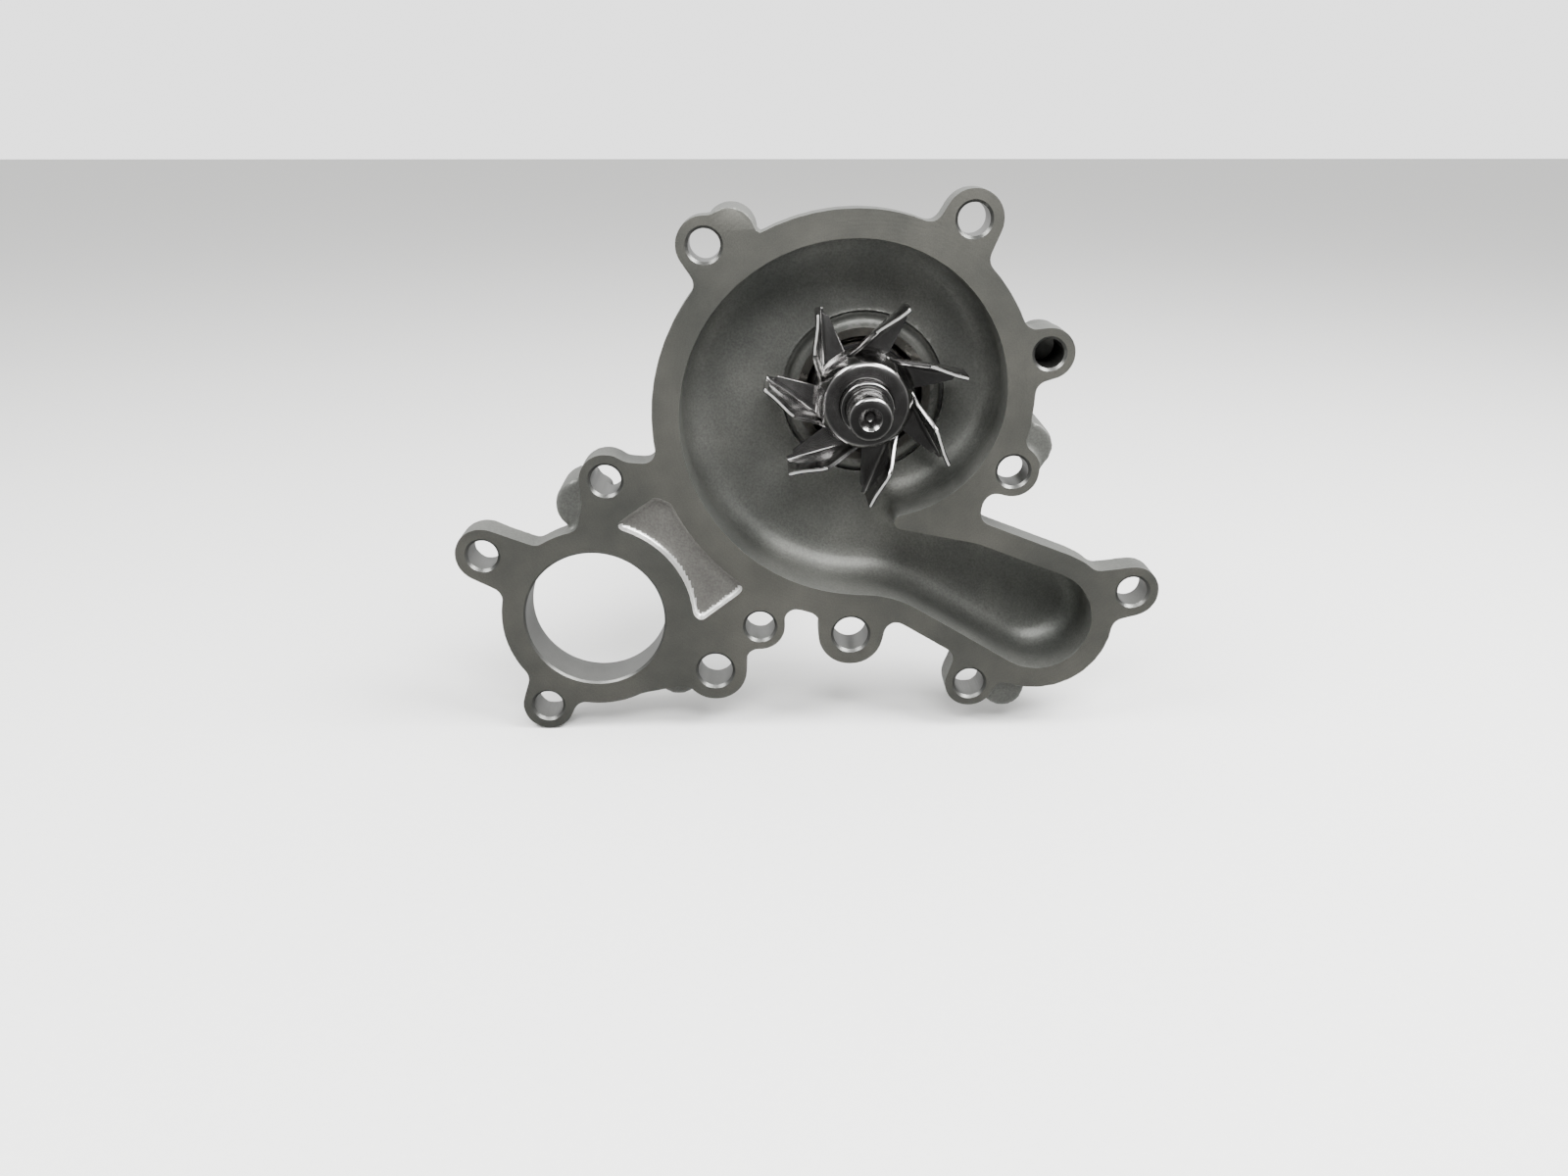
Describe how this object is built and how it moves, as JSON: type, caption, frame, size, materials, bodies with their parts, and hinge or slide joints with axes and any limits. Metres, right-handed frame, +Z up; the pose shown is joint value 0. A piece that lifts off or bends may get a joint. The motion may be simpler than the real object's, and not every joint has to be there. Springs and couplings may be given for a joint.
{
  "type": "engine water pump",
  "caption": "Belt-driven engine water pump: cast housing with volute, outlet channel and inlet port, bladed impeller on a sealed bearing shaft, and a flanged pulley hub.",
  "frame": {"origin": "shaft axis where it crosses the gasket face", "axes": "-Y out of the gasket face towards the engine, +Y along the shaft towards the pulley, +Z up, +X towards the outlet channel"},
  "size_m": [0.2128, 0.106, 0.163],
  "materials": {
    "housing": "as-cast grey with machined faces",
    "bearing_outer_ring": "ground",
    "bearing_balls": "polished",
    "ball_cage": "moulded nylon",
    "bearing_rollers": "polished",
    "roller_cage": "moulded nylon",
    "bearing_seal_front": "matte",
    "bearing_seal_rear": "matte",
    "shaft": "ground",
    "pulley_hub": "turned, oiled",
    "impeller": "stamped, bright",
    "impeller_bush": "turned, bright",
    "seal_cup": "drawn",
    "seal_bellows": "matte",
    "seal_spring": "bright wire",
    "seal_carbon_ring": "lapped carbon",
    "seal_band": "drawn",
    "mating_ring": "lapped ceramic",
    "mating_ring_boot": "matte",
    "slinger": "matte"
  },
  "bodies": {
    "housing_body": {"housing": "housing", "bearing_outer_ring": "bearing_outer_ring", "bearing_seal_front": "bearing_seal_front", "bearing_seal_rear": "bearing_seal_rear", "seal_cup": "seal_cup", "seal_bellows": "seal_bellows", "seal_spring": "seal_spring", "seal_carbon_ring": "seal_carbon_ring", "seal_band": "seal_band"},
    "rotor": {"shaft": "shaft", "pulley_hub": "pulley_hub", "impeller": "impeller", "impeller_bush": "impeller_bush", "mating_ring": "mating_ring", "mating_ring_boot": "mating_ring_boot", "slinger": "slinger"},
    "ball_set": {"bearing_balls": "bearing_balls", "ball_cage": "ball_cage"},
    "roller_set": {"bearing_rollers": "bearing_rollers", "roller_cage": "roller_cage"}
  },
  "joints": [
    {"name": "shaft_spin", "type": "hinge", "parent": "housing_body", "child": "rotor", "pos_m": [0, 0, 0], "axis": [0, 1, 0], "continuous": true},
    {"name": "ball_set_spin", "type": "hinge", "parent": "housing_body", "child": "ball_set", "pos_m": [0, 0, 0], "axis": [0, 1, 0], "continuous": true},
    {"name": "roller_set_spin", "type": "hinge", "parent": "housing_body", "child": "roller_set", "pos_m": [0, 0, 0], "axis": [0, 1, 0], "continuous": true}
  ],
  "couplings": [
    {"joint": "ball_set_spin", "follows": "shaft_spin", "ratio": 0.3654},
    {"joint": "roller_set_spin", "follows": "shaft_spin", "ratio": 0.4018}
  ]
}
